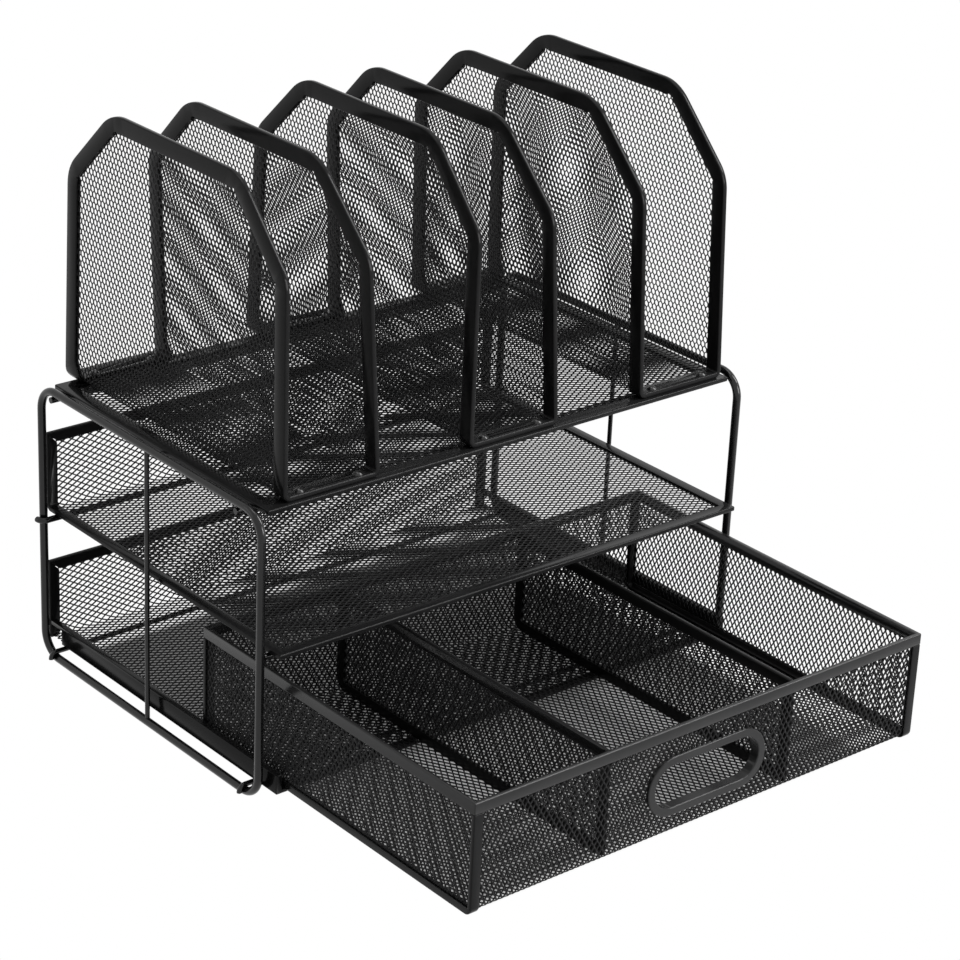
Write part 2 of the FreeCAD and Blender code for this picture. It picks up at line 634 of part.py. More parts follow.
def build_screws():
    """Domed screws down through the feet of the units, each with a nut under the deck."""
    body = new_body("one_screw")
    profile = sketch_on(body, "XZ_Plane", "Profile")
    head = "Sizes.screw_head_dia / 2"
    rise = "Sizes.screw_head_rise"
    ball = "((%s) ^ 2 + %s ^ 2) / (2 * %s)" % (head, rise, rise)
    shank = "Sizes.screw_dia / 2"
    tip = ("-(Sizes.unit_strip_thick + Sizes.strip_thick + Sizes.nut_thick + Sizes.screw_end)")
    centre = Vector(0, number(rise) - number(ball), 0)
    quarter = math.pi / 2
    start = math.atan2(-centre.y, number(head))
    circle = Part.Circle(centre, Vector(0, 0, 1), number(ball))
    dome = profile.addGeometry(Part.ArcOfCircle(circle, start, quarter))
    bind(profile, "Radius", (dome,), ball)
    bind_point(profile, dome, 3, "0", "%s - %s" % (rise, ball))
    bind(profile, "DistanceY", (-1, 1, dome, 1), "0")
    bind(profile, "DistanceX", (-1, 1, dome, 2), "0")
    corners = (("0", rise), ("0", tip), (shank, tip), (shank, "0"), (head, "0"))
    spots = [Vector(number(across), number(up), 0) for across, up in corners]
    first = profile.GeometryCount
    for spot, after in zip(spots, spots[1:]):
        profile.addGeometry(Part.LineSegment(spot, after))
    profile.addConstraint(Sketcher.Constraint("Coincident", dome, 2, first, 1))
    for index in range(len(spots) - 2):
        item = first + index
        profile.addConstraint(Sketcher.Constraint("Coincident", item, 2, item + 1, 1))
        across, up = corners[index + 1]
        bind_point(profile, item, 2, across, up)
    profile.addConstraint(Sketcher.Constraint("Coincident", first + len(spots) - 2, 2, dome, 1))
    doc.recompute()
    turned = body.newObject("PartDesign::Revolution", "Turned")
    turned.Profile = profile
    turned.ReferenceAxis = (profile, ["V_Axis"])
    turned.Angle = 360
    nut_body = new_body("one_nut")
    outline = sketch_on(nut_body, "XY_Plane", "Hexagon")
    corner = "Sizes.nut_dia / sqrt(3) * %s(%d deg)"
    hexagon = [(corner % ("cos", turn), corner % ("sin", turn)) for turn in range(0, 360, 60)]
    add_polygon(outline, hexagon)
    add_circle(outline, "0", "0", shank)
    pad_sketch(nut_body, outline, "Sizes.nut_thick")
    doc.recompute()
    head_level = Vector(0, 0, deck_top + size("unit_strip_thick"))
    nut_level = Vector(0, 0, deck_low - size("nut_thick"))
    screws = [body.Shape.translated(place + head_level) for place in screw_places]
    nuts = [nut_body.Shape.translated(place + nut_level) for place in screw_places]
    keep_shape(Part.makeCompound(screws), "sorter_screws")
    keep_shape(Part.makeCompound(nuts), "sorter_nuts")


build_screws()

# Trays: each is one mesh sheet bent up at the rear, its back standing behind the uprights
tray_half = size("tray_width") / 2
tray_strip = size("tray_strip")
back_y = (frame_rear, frame_rear + size("strip_thick"))


def cut_back_seams(shape, top):
    """Open the mitred seams at the two upper corners of a tray's back."""
    gap = size("seam_gap") / 2
    inner = tray_strip + over
    outer = size("seam_start")
    for hand in (-1, 1):
        corners = [
            (hand * (tray_half - outer) - gap, top - outer),
            (hand * (tray_half - inner) - gap, top - inner),
            (hand * (tray_half - inner) + gap, top - inner),
            (hand * (tray_half - outer) + gap, top - outer),
        ]
        slit = prism_along_y(corners, [0] * len(corners), back_y[0] - over, back_y[1] + over)
        shape = shape.cut(slit)
    return shape


def tray_path(front, floor_middle, top):
    return [(front, floor_middle), (frame_rear + strip_half, floor_middle), (frame_rear + strip_half, top)]


def build_middle_tray():
    """Both the sheet and the folded strip round it follow the bend."""
    front = -size("shelf_front")
    low = size("shelf_height")
    top = low + size("shelf_rise")
    whole_path = tray_path(front, low + strip_half, top)
    held_path = tray_path(front + web, low + strip_half, top - web)
    whole = prism_along_x(*ribbon(whole_path, strip_half, bend), -tray_half, tray_half)
    opening_x = (-tray_half + tray_strip, tray_half - tray_strip)
    floor_opening = slab(opening_x, (front + tray_strip, back_y[1] + over), (low - over, low + tray_strip))
    back_reach = (frame_rear - bend - over, back_y[1] + over)
    back_opening = slab(opening_x, back_reach, (low - over, top - tray_strip))
    held_x = (-tray_half + web, tray_half - web)
    slot = prism_along_x(*ribbon(held_path, slot_half, bend), *held_x)
    strip = whole.cut(floor_opening).cut(back_opening).cut(slot)
    keep_shape(cut_back_seams(strip, top), "middle_tray_strip")
    keep_shape(prism_along_x(*ribbon(held_path, mesh_half, bend), *held_x), "middle_tray_mesh")


def build_base_tray():
    """Thin strip in front, a tall hollow-edged band on each side, a strip round the back."""
    front = -size("base_front")
    low = size("wire_dia") + size("base_wire_dia")
    front_top = low + size("base_strip_thick")
    floor_middle = low + size("base_strip_thick") / 2
    top = low + size("base_rise")
    held_path = tray_path(front + web, floor_middle, top - web)
    held_x = (-tray_half + web, tray_half - web)
    slot = prism_along_x(*ribbon(held_path, slot_half, bend), *held_x)
    rim = slab((-tray_half, tray_half), (front, front + tray_strip), (low, front_top))
    band_top = low + size("band_height")
    band_end = back_y[1] - size("band_stop")
    for hand in (-1, 1):
        band_x = sorted((hand * tray_half, hand * (tray_half - size("band_thick"))))
        rim = rim.fuse(slab(band_x, (front, band_end), (low, band_top)))
        rim = rim.fuse(slab(band_x, (band_end - over, back_y[0]), (band_top - size("band_hem"), band_top)))
    rim = rim.removeSplitter().cut(slot)
    keep_shape(rim, "bottom_tray_rim")
    back = slab((-tray_half, tray_half), back_y, (low, top))
    opening_x = (-tray_half + tray_strip, tray_half - tray_strip)
    back = back.cut(slab(opening_x, (back_y[0] - over, back_y[1] + over), (low - over, top - tray_strip)))
    back = cut_back_seams(back.cut(slot), top)
    keep_shape(back, "bottom_tray_back_frame")
    keep_shape(prism_along_x(*ribbon(held_path, mesh_half, bend), *held_x), "bottom_tray_mesh")


build_middle_tray()
build_base_tray()

# Drawer: it stands just above the front strip of the bottom tray and is modelled pulled out
drawer_low = size("drawer_foot")
drawer_top = drawer_low + size("drawer_height")
drawer_y = (-size("drawer_front"), size("drawer_length") - size("drawer_front"))
drawer_half = size("drawer_width") / 2
rim_half = size("rim_thick") / 2
rim_low = drawer_top - size("rim_height")
foot_bend = size("post_foot_bend")
post_leg = size("post_leg")
edge_leg = size("edge_leg")
wall_inner = drawer_half - size("rim_thick")
rim_web = size("rim_web")


def side_outline(inward, top):
    """Side view of the drawer below a height, with its rounded lower corners."""
    corners = [
        (drawer_y[0] + inward, drawer_low + inward),
        (drawer_y[1] - inward, drawer_low + inward),
        (drawer_y[1] - inward, top),
        (drawer_y[0] + inward, top),
    ]
    return corners, [foot_bend - inward, foot_bend - inward, 0, 0]


def wrap_path(top):
    """Centre line of the sheet that makes the front, floor and rear of the drawer."""
    floor_middle = drawer_low + rim_half
    front_middle = drawer_y[0] + rim_half
    rear_middle = drawer_y[1] - rim_half
    return [
        (front_middle, top),
        (front_middle, floor_middle),
        (rear_middle, floor_middle),
        (rear_middle, top),
    ]


def stadium_block(half_width, half_height, middle_up, start, end):
    """Block along Y with half-round ends."""
    corners = [
        (-half_width, middle_up - half_height),
        (half_width, middle_up - half_height),
        (half_width, middle_up + half_height),
        (-half_width, middle_up + half_height),
    ]
    return prism_along_y(corners, [half_height] * len(corners), start, end)


def build_drawer_sheets():
    """One sheet is wrapped from the front under the floor to the rear, with a flat wall on each side."""
    held_top = drawer_top - rim_web
    held_x = (-wall_inner, wall_inner)
    panel = prism_along_x(*ribbon(wrap_path(held_top), mesh_half, foot_bend - rim_half), *held_x)
    opening_half = size("handle_width") / 2 - size("handle_flange") + size("handle_collar")
    opening_high = size("handle_height") / 2 - size("handle_flange") + size("handle_collar")
    slack = size("mesh_slack")
    hole = stadium_block(opening_half + slack, opening_high + slack, drawer_low + size("handle_rise"),
                         drawer_y[0] - over, drawer_y[0] + size("rim_thick") + over)
    keep_shape(panel.cut(hole), "drawer_wrap_mesh")
    outline, radii = side_outline(web, held_top)
    for hand, side in ((-1, "left"), (1, "right")):
        middle = hand * (drawer_half - rim_half)
        wall = prism_along_x(outline, radii, middle - mesh_half, middle + mesh_half)
        keep_shape(wall, "drawer_%s_wall_mesh" % side)


def build_drawer_strips():
    """A folded strip down the front, along the floor and up the rear on each side."""
    wrap_bend = foot_bend - rim_half
    whole = prism_along_x(*ribbon(wrap_path(rim_low), rim_half, wrap_bend), -drawer_half, drawer_half)
    slot = prism_along_x(*ribbon(wrap_path(rim_low + over), slot_half, wrap_bend), -wall_inner, wall_inner)
    plate_outline = side_outline(0, rim_low)
    wall_outline = side_outline(web, rim_low + over)
    opening_y = (drawer_y[0] + size("rim_thick"), drawer_y[1] - size("rim_thick"))
    opening = (opening_y, (drawer_low + edge_leg, rim_low + over))
    for hand, side in ((-1, "left"), (1, "right")):
        outer = hand * drawer_half
        leg = slab(sorted((outer, outer - hand * post_leg)), (drawer_y[0] - over, drawer_y[1] + over),
                   (drawer_low - over, rim_low))
        inner = outer - hand * size("rim_thick")
        side_plate = prism_along_x(*plate_outline, *sorted((outer, inner)))
        side_plate = side_plate.cut(slab(sorted((outer + hand * over, inner - hand * over)), *opening))
        middle = hand * (drawer_half - rim_half)
        wall_slot = prism_along_x(*wall_outline, middle - slot_half, middle + slot_half)
        strip = whole.common(leg).fuse(side_plate).removeSplitter().cut(slot).cut(wall_slot)
        keep_shape(strip, "drawer_%s_side_strip" % side)


def add_stadium(sketch, half_width, half_height, up):
    """Half-round ends joined by two straight lines, all dimensioned."""
    radius = number(half_height)
    reach = number(half_width) - radius
    level = number(up)
    quarter = math.pi / 2
    left_circle = Part.Circle(Vector(-reach, level, 0), Vector(0, 0, 1), radius)
    right_circle = Part.Circle(Vector(reach, level, 0), Vector(0, 0, 1), radius)
    left = sketch.addGeometry(Part.ArcOfCircle(left_circle, quarter, 3 * quarter))
    right = sketch.addGeometry(Part.ArcOfCircle(right_circle, -quarter, quarter))
    low = Part.LineSegment(Vector(-reach, level - radius, 0), Vector(reach, level - radius, 0))
    high = Part.LineSegment(Vector(reach, level + radius, 0), Vector(-reach, level + radius, 0))
    lower = sketch.addGeometry(low)
    upper = sketch.addGeometry(high)
    for item, end, after, start in ((left, 2, lower, 1), (lower, 2, right, 1),
                                    (right, 2, upper, 1), (upper, 2, left, 1)):
        sketch.addConstraint(Sketcher.Constraint("Tangent", item, end, after, start))
    place = "(%s) - (%s)" % (half_width, half_height)
    for item, across in ((left, "-(%s)" % place), (right, place)):
        bind(sketch, "Radius", (item,), half_height)
        bind_point(sketch, item, 3, across, up)


def build_handle():
    """Finger opening in the drawer's front: a flange on the mesh and a collar through it."""
    body = new_body("drawer_handle_ring")
    mesh_front = "Sizes.drawer_front - Sizes.rim_thick / 2 + Sizes.mesh_thick / 2"
    middle = "Sizes.drawer_foot + Sizes.handle_rise"
    outer = ("Sizes.handle_width / 2", "Sizes.handle_height / 2")
    opening = [reach + " - Sizes.handle_flange" for reach in outer]
    collar = [reach + " + Sizes.handle_collar" for reach in opening]
    flange_sketch = sketch_on(body, "XZ_Plane", "Flange", mesh_front)
    add_stadium(flange_sketch, *outer, middle)
    add_stadium(flange_sketch, *opening, middle)
    flange = pad_sketch(body, flange_sketch, "Sizes.handle_flange_thick")
    doc.recompute()
    front_level = -number(mesh_front) - size("handle_flange_thick")
    front_edges = []
    for index, edge in enumerate(flange.Shape.Edges):
        box = edge.BoundBox
        if abs(box.YMin - front_level) + abs(box.YMax - front_level) < size("handle_edge") / 2:
            front_edges.append("Edge%d" % (index + 1))
    rounding = body.newObject("PartDesign::Fillet", "Rounding")
    rounding.Base = (flange, front_edges)
    rounding.setExpression("Radius", "Sizes.handle_edge")
    collar_sketch = sketch_on(body, "XZ_Plane", "Collar", mesh_front)
    add_stadium(collar_sketch, *collar, middle)
    add_stadium(collar_sketch, *opening, middle)
    pad_sketch(body, collar_sketch, "Sizes.handle_collar_depth", True)
    keep(body, "drawer_handle_ring")


def build_drawer_rim():
    low = "Sizes.drawer_foot + Sizes.drawer_height - Sizes.rim_height"
    half = "Sizes.drawer_width / 2"
    front = "-Sizes.drawer_front"
    rear = "Sizes.drawer_length - Sizes.drawer_front"
    thick = "Sizes.rim_thick"
    outer = rectangle("-" + half, half, front, rear)
    inner = rectangle("-%s + %s" % (half, thick), "%s - %s" % (half, thick),
                      "%s + %s" % (front, thick), "%s - %s" % (rear, thick))
    body = plate("drawer_rim", "XY_Plane", low, (outer, inner), "Sizes.rim_height")
    lip = "Sizes.rim_thick / 2 - Sizes.mesh_thick / 2 - Sizes.mesh_slack"
    gap = "Sizes.rim_thick / 2 + Sizes.mesh_thick / 2 + Sizes.mesh_slack"
    slot_outer = rectangle("-%s + %s" % (half, lip), "%s - (%s)" % (half, lip),
                           "%s + %s" % (front, lip), "%s - (%s)" % (rear, lip))
    slot_inner = rectangle("-%s + %s" % (half, gap), "%s - (%s)" % (half, gap),
                           "%s + %s" % (front, gap), "%s - (%s)" % (rear, gap))
    cut_outlines(body, "XY_Plane", low, (slot_outer, slot_inner), "Sizes.rim_height - Sizes.rim_web")


def divider_block(middle, half_thick, inward):
    corners = [
        (drawer_y[0] + size("rim_thick") + inward, divider_low + inward),
        (drawer_y[1] - size("rim_thick") - inward, divider_low + inward),
        (drawer_y[1] - size("rim_thick") - inward, drawer_top - size("divider_drop") - inward),
        (drawer_y[0] + size("rim_thick") + inward, drawer_top - size("divider_drop") - inward),
    ]
    small = max(size("divider_bend") - inward, 0)
    radii = [small, max(size("divider_rear_bend") - inward, 0), small, small]
    return prism_along_x(corners, radii, middle - half_thick, middle + half_thick)


def build_dividers():
    """Upright panels from the front wall to the rear wall, standing on the drawer's floor."""
    half_thick = size("divider_thick") / 2
    for side, middle in (("left", -size("divider_left")), ("right", size("divider_right"))):
        frame = divider_block(middle, half_thick, 0)
        frame = frame.cut(divider_block(middle, half_thick + over, size("divider_strip")))
        frame = frame.cut(divider_block(middle, slot_half, web))
        keep_shape(frame, "drawer_%s_divider_frame" % side)
        keep_shape(divider_block(middle, mesh_half, web), "drawer_%s_divider_mesh" % side)


build_drawer_sheets()
build_drawer_strips()
build_handle()
build_drawer_rim()
divider_low = drawer_low + rim_half + mesh_half
build_dividers()

doc.recompute()
for thing in doc.Objects:
    if "Invalid" in thing.State or "Error" in thing.State:
        raise RuntimeError("%s failed: %s" % (thing.Label, thing.State))
for thing in nodes:
    shape = thing.Shape
    if shape.isNull() or not shape.isValid():
        raise RuntimeError("%s has no valid shape" % thing.Label)
for thing in nodes:
    thing.Shape.exportStep("parts/%s.step" % thing.Label)
    print("%s: %d solids" % (thing.Label, len(thing.Shape.Solids)))
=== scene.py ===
import bpy
import bmesh
import json
import math
import numpy as np
from mathutils import Matrix, Vector


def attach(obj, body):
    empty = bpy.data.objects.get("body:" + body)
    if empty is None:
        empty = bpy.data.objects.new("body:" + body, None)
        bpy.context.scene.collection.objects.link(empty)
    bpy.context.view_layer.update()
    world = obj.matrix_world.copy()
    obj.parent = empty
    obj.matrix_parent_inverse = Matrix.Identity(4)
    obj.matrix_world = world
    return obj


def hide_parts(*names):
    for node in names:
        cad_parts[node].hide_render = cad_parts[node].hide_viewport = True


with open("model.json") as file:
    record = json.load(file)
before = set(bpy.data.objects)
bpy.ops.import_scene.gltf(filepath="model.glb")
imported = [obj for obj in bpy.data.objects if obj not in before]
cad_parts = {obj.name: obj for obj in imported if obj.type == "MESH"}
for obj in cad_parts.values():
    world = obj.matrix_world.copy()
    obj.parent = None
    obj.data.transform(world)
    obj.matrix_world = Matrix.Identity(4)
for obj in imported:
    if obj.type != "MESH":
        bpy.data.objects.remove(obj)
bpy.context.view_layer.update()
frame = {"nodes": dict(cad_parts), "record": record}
mm = 0.001
endless = 1e9
print("frame loaded:", len(frame["nodes"]), "nodes")

# The sheets are expanded metal: rows of small six-sided holes, each row shifted half a hole
# against the next. The sorter walls have rounder holes, the other sheets near diamonds with
# broader strands. All sizes here are millimetres.
weaves = {
    "walls": {
        "longPitch": 6.15,     # hole to hole along the long way
        "shortPitch": 3.41,    # hole to hole across it
        "holeHalfWide": 1.38,
        "holeSideHalf": 0.72,  # half of the hole's straight side
        "holeHalfLong": 1.96,
    },
    "flats": {
        "longPitch": 6.17,
        "shortPitch": 3.65,
        "holeHalfWide": 1.34,
        "holeSideHalf": 0.14,
        "holeHalfLong": 2.38,
    },
}
weaveThick = 0.5
spareHoles = {"before": (1, 2), "rows": 3, "columns": 5}  # past the edges, where they are cut off


def meshFromArrays(name, points, quads, triangles):
    mesh = bpy.data.meshes.new(name)
    mesh.vertices.add(len(points))
    mesh.vertices.foreach_set("co", np.asarray(points, np.float32).ravel())
    corners = np.concatenate([quads.ravel(), triangles.ravel()]).astype(np.int32)
    sizes = np.concatenate([np.full(len(quads), 4), np.full(len(triangles), 3)])
    starts = np.concatenate([[0], np.cumsum(sizes)[:-1]]).astype(np.int32)
    mesh.loops.add(len(corners))
    mesh.loops.foreach_set("vertex_index", corners)
    mesh.polygons.add(len(sizes))
    mesh.polygons.foreach_set("loop_start", starts)
    mesh.polygons.foreach_set("use_smooth", np.ones(len(sizes), bool))
    mesh.update(calc_edges=True)
    mesh.validate()
    return mesh


# Flat net of the weave over a rectangle: point places along the long and the short way,
# and the faces between the holes.
def weaveNet(w, longRange, shortRange):
    halfLong, halfShort = w["longPitch"] / 2, w["shortPitch"] / 2
    rows = int(math.ceil((longRange[1] - longRange[0]) / w["longPitch"])) + spareHoles["rows"]
    columns = int(math.ceil((shortRange[1] - shortRange[0]) / halfShort)) + spareHoles["columns"]
    rowsBefore, columnsBefore = spareHoles["before"]
    k, m = np.meshgrid(np.arange(columns), np.arange(rows), indexing="ij")
    centreShort = shortRange[0] + (k - columnsBefore) * halfShort
    centreLong = longRange[0] + (m - rowsBefore) * w["longPitch"] + (k % 2) * halfLong
    hole = np.array([
        (0, w["holeHalfLong"]),
        (w["holeHalfWide"], w["holeSideHalf"]),
        (w["holeHalfWide"], -w["holeSideHalf"]),
        (0, -w["holeHalfLong"]),
        (-w["holeHalfWide"], -w["holeSideHalf"]),
        (-w["holeHalfWide"], w["holeSideHalf"]),
    ])
    short = (centreShort[..., None] + hole[:, 0]).reshape(-1)
    long = (centreLong[..., None] + hole[:, 1]).reshape(-1)

    # Number of one corner of the hole in a column and row, or -1 where there is no such hole
    def corner(column, row, which):
        good = (column >= 0) & (column < columns) & (row >= 0) & (row < rows)
        return np.where(good, (column * rows + row) * len(hole) + which, -1).reshape(-1)

    up = m + (k % 2)
    down = up - 1
    bonds = [corner(k, m, 2), corner(k + 2, m, 4), corner(k + 2, m, 5), corner(k, m, 1)]
    rising = [corner(k, m, 1), corner(k + 1, up, 3), corner(k + 1, up, 4), corner(k, m, 0)]
    falling = [corner(k, m, 0), corner(k - 1, up, 2), corner(k - 1, up, 3), corner(k, m, 5)]
    above = [corner(k, m, 0), corner(k + 1, up, 4), corner(k - 1, up, 2)]
    below = [corner(k, m, 3), corner(k - 1, down, 1), corner(k + 1, down, 5)]
    quads = np.concatenate([np.stack(part, 1) for part in (bonds, rising, falling)])
    triangles = np.concatenate([np.stack(part, 1) for part in (above, below)])
    quads = quads[(quads >= 0).all(1)]
    triangles = triangles[(triangles >= 0).all(1)]
    return long, short, quads, triangles


# Bent centre line of a sheet: straight runs joined by arcs that turn left. Gives a function
# from lengths along it to points and normals, and its whole length.
def bentLine(points, bend):
    points = [np.array(p, float) for p in points]
    runs = []
    at = 0.0
    trim = 0.0
    for i in range(len(points) - 1):
        along = points[i + 1] - points[i]
        length = np.linalg.norm(along)
        along = along / length
        turn = 0.0
        if i + 2 < len(points):
            after = points[i + 2] - points[i + 1]
            after = after / np.linalg.norm(after)
            turn = math.acos(max(-1.0, min(1.0, float(along @ after))))
        nextTrim = bend * math.tan(turn / 2)
        straight = length - trim - nextTrim
        runs.append(("line", at, straight, points[i] + along * trim, along))
        at += straight
        if turn > 0:
            start = points[i + 1] - along * nextTrim
            centre = start + bend * np.array((-along[1], along[0]))
            runs.append(("arc", at, bend * turn, centre, math.atan2(-along[0], along[1])))
            at += bend * turn
        trim = nextTrim

    def place(s):
        spot = np.zeros((len(s), 2))
        normal = np.zeros((len(s), 2))
        for index, (kind, begin, length, origin, way) in enumerate(runs):
            low = -endless if index == 0 else begin
            high = endless if index == len(runs) - 1 else begin + length
            here = (s >= low) & (s < high)
            local = s[here] - begin
            if kind == "line":
                spot[here] = origin + local[:, None] * way
                normal[here] = (-way[1], way[0])
            else:
                angle = way + local / bend
                out = np.stack([np.cos(angle), np.sin(angle)], 1)
                spot[here] = origin + bend * out
                normal[here] = -out
        return spot, normal

    return place, at


# One woven sheet as a closed solid. place gives points and normals in millimetres from the
# two ways of the sheet, keep says which points of the net the sheet has, and share is the
# stretch of its long way that this piece covers.
def wovenSheet(name, weave, longRange, shortRange, place, keep, share):
    long, short, quads, triangles = weaveNet(weave, longRange, shortRange)
    inside = keep(long, short)
    quads = quads[inside[quads].all(1)]
    triangles = triangles[inside[triangles].all(1)]
    quadMiddle, triangleMiddle = long[quads].mean(1), long[triangles].mean(1)
    quads = quads[(quadMiddle >= share[0]) & (quadMiddle < share[1])]
    triangles = triangles[(triangleMiddle >= share[0]) & (triangleMiddle < share[1])]
    used = np.unique(np.concatenate([quads.ravel(), triangles.ravel()]))
    number = np.full(len(long), -1)
    number[used] = np.arange(len(used))
    quads, triangles = number[quads], number[triangles]
    spot, normal = place(long[used], short[used])
    half = weaveThick / 2
    points = np.concatenate([spot + normal * half, spot - normal * half]) * mm
    count = len(used)
    edges = np.concatenate([
        np.stack([quads, np.roll(quads, -1, 1)], 2).reshape(-1, 2),
        np.stack([triangles, np.roll(triangles, -1, 1)], 2).reshape(-1, 2),
    ])
    keys = edges[:, 0] * count + edges[:, 1]
    back = edges[:, 1] * count + edges[:, 0]
    rim = edges[~np.isin(keys, back)]
    walls = np.stack([rim[:, 0], rim[:, 0] + count, rim[:, 1] + count, rim[:, 1]], 1)
    allQuads = np.concatenate([quads, quads[:, ::-1] + count, walls])
    allTriangles = np.concatenate([triangles, triangles[:, ::-1] + count])
    mesh = meshFromArrays(name, points, allQuads, allTriangles)
    piece = bpy.data.objects.new(name, mesh)
    bpy.context.scene.collection.objects.link(piece)
    return piece


# A flat sheet across one axis. long and short run along the two named axes.
def flatPlace(axis, level, longAxis, shortAxis):
    def place(long, short):
        spot = np.zeros((len(long), 3))
        spot[:, axis] = level
        spot[:, longAxis] = long
        spot[:, shortAxis] = short
        normal = np.zeros((len(long), 3))
        # The short axis crossed with the long one points up the third axis, or down it
        upward = (longAxis - shortAxis) % 3 == 1
        normal[:, axis] = 1 if upward else -1
        return spot, normal
    return place


# Keeps the net's points that lie within both ranges
def insideBox(longRange, shortRange):
    def keep(long, short):
        good = (long >= longRange[0]) & (long <= longRange[1])
        return good & (short >= shortRange[0]) & (short <= shortRange[1])
    return keep


def finishPiece(piece, node, body, material):
    piece.data.materials.clear()
    piece.data.materials.append(material)
    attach(piece, body)
    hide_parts(node)


# Black powder coat: a slow cloud changes its tone and roughness, and a fine peel its surface
coat = {"cloudDetail": 3, "toneFrom": 0.3, "toneTo": 0.7, "peelDetail": 2, "peelDepth": 0.0002}


def coatMaterial(name, look):
    material = bpy.data.materials.new(name)
    material.use_nodes = True
    tree = material.node_tree
    nodes, links = tree.nodes, tree.links
    nodes.clear()
    output = nodes.new("ShaderNodeOutputMaterial")
    shader = nodes.new("ShaderNodeBsdfPrincipled")
    links.new(shader.outputs["BSDF"], output.inputs["Surface"])
    shader.inputs["Metallic"].default_value = 0.0
    shader.inputs["Specular IOR Level"].default_value = look["shine"]
    shader.inputs["Coat Weight"].default_value = look["coat"]
    shader.inputs["Coat Roughness"].default_value = look["coatRough"]
    place = nodes.new("ShaderNodeTexCoord")
    cloud = nodes.new("ShaderNodeTexNoise")
    cloud.inputs["Scale"].default_value = look["cloudScale"]
    cloud.inputs["Detail"].default_value = coat["cloudDetail"]
    links.new(place.outputs["Object"], cloud.inputs["Vector"])
    tone = nodes.new("ShaderNodeValToRGB")
    tone.color_ramp.elements[0].position = coat["toneFrom"]
    tone.color_ramp.elements[1].position = coat["toneTo"]
    tone.color_ramp.elements[0].color = (*look["dark"], 1)
    tone.color_ramp.elements[1].color = (*look["light"], 1)
    links.new(cloud.outputs["Fac"], tone.inputs["Fac"])
    links.new(tone.outputs["Color"], shader.inputs["Base Color"])
    rough = nodes.new("ShaderNodeMapRange")
    rough.inputs["To Min"].default_value = look["rough"][0]
    rough.inputs["To Max"].default_value = look["rough"][1]
    links.new(cloud.outputs["Fac"], rough.inputs["Value"])
    links.new(rough.outputs["Result"], shader.inputs["Roughness"])
    peel = nodes.new("ShaderNodeTexNoise")
    peel.inputs["Scale"].default_value = look["peelScale"]
    peel.inputs["Detail"].default_value = coat["peelDetail"]
    links.new(place.outputs["Object"], peel.inputs["Vector"])
    bump = nodes.new("ShaderNodeBump")
    bump.inputs["Strength"].default_value = look["peel"]
    bump.inputs["Distance"].default_value = coat["peelDepth"]
    links.new(peel.outputs["Fac"], bump.inputs["Height"])
    links.new(bump.outputs["Normal"], shader.inputs["Normal"])
    return material


# Base colour goes from dark to light and roughness between its two values, both with the
# cloud. The scales count about how many blotches fit in a metre.
stripLook = {
    "dark": (0.012, 0.012, 0.0124), "light": (0.019, 0.019, 0.0194), "rough": (0.12, 0.16),
    "shine": 0.10, "coat": 0.0, "coatRough": 0.3,
    "cloudScale": 25, "peelScale": 1400, "peel": 0.06,
}
# Lit copy of the strip coat for the drawer rim and handle ring: the same paint with a lighter base
# and more shine, a painted highlight
rimLitCopyLook = {
    "dark": (0.018, 0.018, 0.0185), "light": (0.026, 0.026, 0.0265), "rough": (0.13, 0.17),
    "shine": 0.28, "coat": 0.0, "coatRough": 0.3,
    "cloudScale": 25, "peelScale": 1400, "peel": 0.05,
}
wireLook = {
    "dark": (0.005, 0.005, 0.0054), "light": (0.009, 0.009, 0.0094), "rough": (0.12, 0.18),
    "shine": 0.34, "coat": 0.1, "coatRough": 0.2,
    "cloudScale": 30, "peelScale": 1500, "peel": 0.08,
}
meshLook = {
    "dark": (0.006, 0.006, 0.0065), "light": (0.011, 0.011, 0.0115), "rough": (0.4, 0.55),
    "shine": 0.15, "coat": 0.0, "coatRough": 0.3,
    "cloudScale": 40, "peelScale": 1600, "peel": 0.1,
}
screwLook = {
    "dark": (0.008, 0.008, 0.008), "light": (0.014, 0.014, 0.014), "rough": (0.22, 0.3),
    "shine": 0.4, "coat": 0.2, "coatRough": 0.15,
    "cloudScale": 120, "peelScale": 2000, "peel": 0.05,
}
coatedStrip = coatMaterial("coatedStrip", stripLook)
coatedRimLitCopy = coatMaterial("coatedRimLitCopy", rimLitCopyLook)
coatedWire = coatMaterial("coatedWire", wireLook)
coatedMesh = coatMaterial("coatedMesh", meshLook)
blackScrew = coatMaterial("blackScrew", screwLook)
finishes = {
    "coated_strip": coatedStrip,
    "coated_wire": coatedWire,
    "coated_mesh": coatedMesh,
    "screw": blackScrew,
}
slotOf = {part["node"]: part["material_slot"] for part in frame["record"]["subparts"]}
bodies = frame["record"]["behaviour"]["bodies"]
bodyOf = {node: body for body, members in bodies.items() for node in members}
paintedHighlightNodes = ["drawer_rim", "drawer_handle_ring"]  # the same coat as the strips, given a lighter base and more shine here: a painted highlight where the light catches these most
for nodeName, nodeObject in frame["nodes"].items():
    nodeObject.data.materials.clear()
    nodeObject.data.materials.append(
        coatedRimLitCopy if nodeName in paintedHighlightNodes else finishes[slotOf[nodeName]])
print("finishes made")


# A wide sheet is made in two halves, so that neither has too many faces
def wovenNode(node, longRange, shortRange, place, keep, halves=1, weave=weaves["flats"]):
    cuts = [-endless, endless] if halves == 1 else [-endless, sum(longRange) / 2, endless]
    for count, share in enumerate(zip(cuts, cuts[1:]), start=1):
        name = node + "_net" if halves == 1 else "%s_net_%d" % (node, count)
        piece = wovenSheet(name, weave, longRange, shortRange, place, keep, share)
        finishPiece(piece, node, bodyOf[node], coatedMesh)
        print(name, len(piece.data.polygons), "faces")


